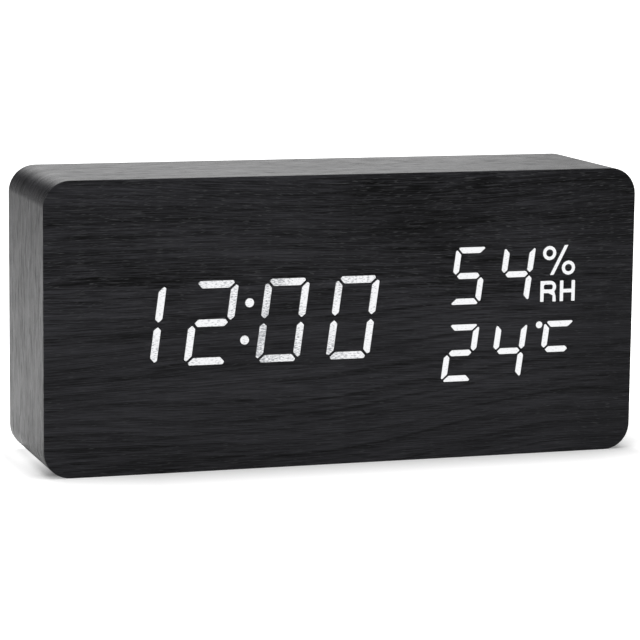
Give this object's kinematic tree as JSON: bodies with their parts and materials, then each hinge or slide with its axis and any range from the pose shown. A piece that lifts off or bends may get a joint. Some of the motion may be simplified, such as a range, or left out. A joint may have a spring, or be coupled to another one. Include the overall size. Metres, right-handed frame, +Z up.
{
  "type": "digital desk clock",
  "caption": "Wood-grain block desk clock with a lit seven-segment time, humidity and temperature display, rear push buttons, battery bay and power socket.",
  "frame": {"origin": "on the desk, under the middle of the case", "axes": "+X to the right seen from the front, +Y from the front to the back, +Z up; the display faces -Y"},
  "size_m": [0.15, 0.0386, 0.0708],
  "materials": {
    "wood_film": "black wood-grain film, satin, with open pores",
    "fibreboard": "milled medium-density fibreboard",
    "mask_plastic": "black moulded plastic",
    "light_guide": "milky light guide, lit white",
    "circuit_board": "green solder mask over glass laminate",
    "component_plastic": "black moulded component",
    "plated_steel": "nickel-plated spring steel",
    "screw_steel": "black zinc-plated steel",
    "cover_plastic": "black moulded plastic with a fine spark texture",
    "button_plastic": "black moulded plastic, smooth",
    "cell_sleeve": "plain printed sleeve over a steel can",
    "sensor_plastic": "white moulded plastic",
    "red_wire": "red insulation",
    "black_wire": "black insulation",
    "grey_ribbon": "grey ribbon insulation"
  },
  "bodies": {
    "root": {"case_body": "fibreboard", "wrap_film": "wood_film", "base_film": "wood_film", "front_film": "wood_film", "rear_film": "wood_film", "light_mask": "mask_plastic", "light_guide_hour_tens": "light_guide", "light_guide_hour_units": "light_guide", "light_guide_colon": "light_guide", "light_guide_minute_tens": "light_guide", "light_guide_minute_units": "light_guide", "light_guide_humidity_tens": "light_guide", "light_guide_humidity_units": "light_guide", "light_guide_humidity_sign": "light_guide", "light_guide_temperature_tens": "light_guide", "light_guide_temperature_units": "light_guide", "light_guide_celsius": "light_guide", "display_board": "circuit_board", "clock_chip": "component_plastic", "quartz_crystal": "plated_steel", "display_screw_1": "screw_steel", "display_screw_2": "screw_steel", "display_screw_3": "screw_steel", "display_screw_4": "screw_steel", "rear_cover": "cover_plastic", "cover_screw_1": "screw_steel", "cover_screw_2": "screw_steel", "cover_screw_3": "screw_steel", "cover_screw_4": "screw_steel", "battery_cell_1": "cell_sleeve", "battery_cell_2": "cell_sleeve", "battery_cell_3": "cell_sleeve", "contact_positive": "plated_steel", "contact_link_left": "plated_steel", "contact_link_right": "plated_steel", "contact_negative": "plated_steel", "lead_positive": "red_wire", "lead_negative": "black_wire", "control_board": "circuit_board", "switch_body_set": "component_plastic", "switch_body_up": "component_plastic", "switch_body_down": "component_plastic", "usb_shell": "plated_steel", "usb_tongue": "component_plastic", "buzzer": "component_plastic", "humidity_sensor": "sensor_plastic", "ribbon_cable": "grey_ribbon", "control_screw_1": "screw_steel", "control_screw_2": "screw_steel"},
    "set_button": {"button_set": "button_plastic", "switch_plunger_set": "component_plastic"},
    "up_button": {"button_up": "button_plastic", "switch_plunger_up": "component_plastic"},
    "down_button": {"button_down": "button_plastic", "switch_plunger_down": "component_plastic"},
    "battery_door": {"battery_door": "cover_plastic"}
  },
  "joints": [
    {"name": "set_button_press", "type": "slide", "parent": "root", "child": "set_button", "axis": [0, -1, 0], "range_m": [0, 0.0006], "stiffness_N_per_m": 1500, "springref_m": -0.0004},
    {"name": "up_button_press", "type": "slide", "parent": "root", "child": "up_button", "axis": [0, -1, 0], "range_m": [0, 0.0006], "stiffness_N_per_m": 1500, "springref_m": -0.0004},
    {"name": "down_button_press", "type": "slide", "parent": "root", "child": "down_button", "axis": [0, -1, 0], "range_m": [0, 0.0006], "stiffness_N_per_m": 1500, "springref_m": -0.0004},
    {"name": "battery_door_tilt", "type": "hinge", "parent": "root", "child": "battery_door", "pos_m": [0, 0.01785, 0.0102], "axis": [-1, 0, 0], "range_deg": [0, 85]}
  ]
}
